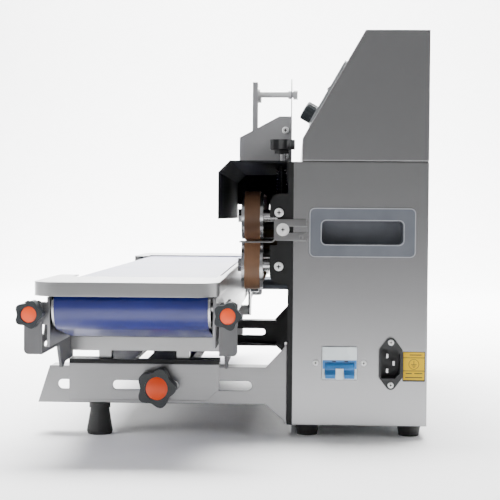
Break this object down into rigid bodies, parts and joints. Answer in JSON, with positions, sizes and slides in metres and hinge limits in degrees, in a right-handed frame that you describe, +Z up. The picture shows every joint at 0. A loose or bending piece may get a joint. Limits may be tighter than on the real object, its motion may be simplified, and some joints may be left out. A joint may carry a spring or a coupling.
{
  "type": "continuous band sealer",
  "caption": "Table-top band sealer: upright housing with sloping control head, paired heated bands on wheels, and an adjustable belt conveyor that carries bags past them.",
  "frame": {"origin": "middle of the bounding box, on the table plane", "axes": "+X along the conveyor towards the end with the power inlet, -Y the user's side with the conveyor, +Z up"},
  "size_m": [0.8646, 0.367, 0.382],
  "materials": {
    "stainless": "brushed",
    "black_paint": "satin",
    "black_plastic": "satin",
    "gray_paint": "satin",
    "rubber": "matte",
    "cup_plastic": "satin",
    "white_plastic": "gloss",
    "blue_plastic": "gloss",
    "steel": "polished",
    "ptfe_band": "coated cloth",
    "blue_belt": "gloss",
    "aluminium": "machined",
    "board": "satin",
    "panel": "satin",
    "brass": "machined"
  },
  "bodies": {
    "base": {"housing_shell": "stainless", "base_plate": "steel", "front_plate": "black_paint", "rubber_feet": "rubber", "control_head": "stainless", "control_panel": "panel", "temperature_controller": "black_plastic", "switch_bodies": "black_plastic", "handle_cups": "cup_plastic", "breaker_body": "white_plastic", "power_inlet": "black_plastic", "inlet_pins": "steel", "screws": "steel", "gear_motor": "aluminium", "fan_frame": "black_plastic", "control_board": "board", "wheel_bearings": "brass", "upper_seal_band": "ptfe_band", "lower_seal_band": "ptfe_band", "heater_blocks": "brass", "cooling_blocks": "aluminium", "end_brackets": "black_paint", "press_spring": "steel", "guard_cover": "black_paint", "reel_plate": "gray_paint", "reel_shaft": "steel", "arm_near": "stainless", "arm_far": "black_paint"},
    "carriage": {"slide_channels": "stainless", "carriage_beam": "black_paint", "tie_bars": "stainless", "side_brackets": "gray_paint"},
    "conveyor": {"conveyor_bed": "stainless", "conveyor_belt": "blue_belt", "end_guards": "stainless"},
    "end_roller_near": {"end_roller_near": "steel"},
    "end_roller_far": {"end_roller_far": "steel"},
    "tension_roller": {"tension_roller": "steel"},
    "drive_roller": {"drive_roller": "steel"},
    "upper_wheel_near": {"upper_wheel_near": "steel"},
    "upper_wheel_far": {"upper_wheel_far": "steel"},
    "lower_wheel_near": {"lower_wheel_near": "steel"},
    "lower_wheel_far": {"lower_wheel_far": "steel"},
    "press_wheel_upper": {"press_wheel_upper": "rubber"},
    "press_wheel_lower": {"press_wheel_lower": "rubber"},
    "fan": {"fan_rotor": "black_plastic"},
    "speed_knob": {"speed_knob": "black_plastic"},
    "rocker_power": {"rocker_power": "black_plastic"},
    "rocker_heat": {"rocker_heat": "black_plastic"},
    "key_up": {"key_up": "cup_plastic"},
    "key_down": {"key_down": "cup_plastic"},
    "breaker_toggle": {"breaker_toggle": "blue_plastic"},
    "pressure_knob": {"pressure_knob": "black_plastic"},
    "guide": {"guide_bracket": "stainless"},
    "arm_knob_near": {"arm_knob_near": "black_plastic"},
    "arm_knob_far": {"arm_knob_far": "black_plastic"},
    "lift_knob_near_left": {"lift_knob_near_left": "black_plastic"},
    "lift_knob_near_right": {"lift_knob_near_right": "black_plastic"},
    "lift_knob_far_left": {"lift_knob_far_left": "black_plastic"},
    "lift_knob_far_right": {"lift_knob_far_right": "black_plastic"}
  },
  "joints": [
    {"name": "carriage_slide", "type": "slide", "parent": "base", "child": "carriage", "axis": [0, 1, 0], "range_m": [-0.05, 0.006]},
    {"name": "conveyor_lift", "type": "slide", "parent": "carriage", "child": "conveyor", "axis": [0, 0, 1], "range_m": [-0.003, 0.01]},
    {"name": "end_roller_near_spin", "type": "hinge", "parent": "conveyor", "child": "end_roller_near", "pos_m": [0.395, -0.0785, 0.1298], "axis": [0, 1, 0], "continuous": true},
    {"name": "end_roller_far_spin", "type": "hinge", "parent": "conveyor", "child": "end_roller_far", "pos_m": [-0.395, -0.0785, 0.1298], "axis": [0, 1, 0], "continuous": true},
    {"name": "tension_roller_spin", "type": "hinge", "parent": "conveyor", "child": "tension_roller", "pos_m": [0.33, -0.0785, 0.1125], "axis": [0, 1, 0], "continuous": true},
    {"name": "drive_roller_spin", "type": "hinge", "parent": "conveyor", "child": "drive_roller", "pos_m": [-0.25, -0.0785, 0.1167], "axis": [0, 1, 0], "continuous": true},
    {"name": "upper_wheel_near_spin", "type": "hinge", "parent": "base", "child": "upper_wheel_near", "pos_m": [0.222, 0.0175, 0.2083], "axis": [0, 1, 0], "continuous": true},
    {"name": "upper_wheel_far_spin", "type": "hinge", "parent": "base", "child": "upper_wheel_far", "pos_m": [-0.078, 0.0175, 0.2083], "axis": [0, 1, 0], "continuous": true},
    {"name": "lower_wheel_near_spin", "type": "hinge", "parent": "base", "child": "lower_wheel_near", "pos_m": [0.222, 0.0175, 0.1597], "axis": [0, 1, 0], "continuous": true},
    {"name": "lower_wheel_far_spin", "type": "hinge", "parent": "base", "child": "lower_wheel_far", "pos_m": [-0.078, 0.0175, 0.1597], "axis": [0, 1, 0], "continuous": true},
    {"name": "press_wheel_upper_spin", "type": "hinge", "parent": "base", "child": "press_wheel_upper", "pos_m": [0.172, 0.0175, 0.1983], "axis": [0, 1, 0], "continuous": true},
    {"name": "press_wheel_lower_spin", "type": "hinge", "parent": "base", "child": "press_wheel_lower", "pos_m": [0.172, 0.0175, 0.1697], "axis": [0, 1, 0], "continuous": true},
    {"name": "fan_spin", "type": "hinge", "parent": "base", "child": "fan", "pos_m": [-0.27, 0.1205, 0.09], "axis": [1, 0, 0], "continuous": true},
    {"name": "speed_turn", "type": "hinge", "parent": "base", "child": "speed_knob", "pos_m": [0.15, 0.07549, 0.31447], "axis": [0, -0.8672, 0.498], "range_deg": [-270, 0]},
    {"name": "rocker_power_press", "type": "hinge", "parent": "base", "child": "rocker_power", "pos_m": [0.096, 0.10148, 0.34567], "axis": [1, 0, 0], "range_deg": [0, 20]},
    {"name": "rocker_heat_press", "type": "hinge", "parent": "base", "child": "rocker_heat", "pos_m": [0.05, 0.10148, 0.34567], "axis": [1, 0, 0], "range_deg": [0, 20]},
    {"name": "key_up_press", "type": "slide", "parent": "base", "child": "key_up", "axis": [0, 0.8672, -0.498], "range_m": [0, 0.0008], "stiffness_N_per_m": 300},
    {"name": "key_down_press", "type": "slide", "parent": "base", "child": "key_down", "axis": [0, 0.8672, -0.498], "range_m": [0, 0.0008], "stiffness_N_per_m": 300},
    {"name": "breaker_throw", "type": "hinge", "parent": "base", "child": "breaker_toggle", "pos_m": [0.2815, 0.1018, 0.0652], "axis": [0, -1, 0], "range_deg": [0, 60]},
    {"name": "pressure_turn", "type": "hinge", "parent": "base", "child": "pressure_knob", "pos_m": [0.172, 0.045, 0.279], "axis": [0, 0, 1], "range_deg": [-360, 360]},
    {"name": "guide_slide", "type": "slide", "parent": "base", "child": "guide", "axis": [0, -1, 0], "range_m": [0, 0.016]},
    {"name": "arm_knob_near_turn", "type": "hinge", "parent": "carriage", "child": "arm_knob_near", "pos_m": [0.295, -0.0685, 0.0475], "axis": [1, 0, 0], "range_deg": [-360, 0]},
    {"name": "arm_knob_far_turn", "type": "hinge", "parent": "carriage", "child": "arm_knob_far", "pos_m": [-0.295, -0.0685, 0.0475], "axis": [-1, 0, 0], "range_deg": [-360, 0]},
    {"name": "lift_knob_near_left_turn", "type": "hinge", "parent": "conveyor", "child": "lift_knob_near_left", "pos_m": [0.42, -0.16135, 0.125], "axis": [1, 0, 0], "range_deg": [-360, 0]},
    {"name": "lift_knob_near_right_turn", "type": "hinge", "parent": "conveyor", "child": "lift_knob_near_right", "pos_m": [0.42, 0.00365, 0.125], "axis": [1, 0, 0], "range_deg": [-360, 0]},
    {"name": "lift_knob_far_left_turn", "type": "hinge", "parent": "conveyor", "child": "lift_knob_far_left", "pos_m": [-0.42, -0.16135, 0.125], "axis": [-1, 0, 0], "range_deg": [-360, 0]},
    {"name": "lift_knob_far_right_turn", "type": "hinge", "parent": "conveyor", "child": "lift_knob_far_right", "pos_m": [-0.42, 0.00365, 0.125], "axis": [-1, 0, 0], "range_deg": [-360, 0]}
  ],
  "couplings": [
    {"joint": "end_roller_far_spin", "follows": "end_roller_near_spin", "ratio": 1},
    {"joint": "tension_roller_spin", "follows": "end_roller_near_spin", "ratio": 1.4},
    {"joint": "drive_roller_spin", "follows": "end_roller_near_spin", "ratio": 0.74181},
    {"joint": "upper_wheel_near_spin", "follows": "end_roller_near_spin", "ratio": -0.81395},
    {"joint": "upper_wheel_far_spin", "follows": "end_roller_near_spin", "ratio": -0.81395},
    {"joint": "lower_wheel_near_spin", "follows": "end_roller_near_spin", "ratio": 0.81395},
    {"joint": "lower_wheel_far_spin", "follows": "end_roller_near_spin", "ratio": 0.81395},
    {"joint": "press_wheel_upper_spin", "follows": "end_roller_near_spin", "ratio": -1.4103},
    {"joint": "press_wheel_lower_spin", "follows": "end_roller_near_spin", "ratio": 1.4103}
  ]
}
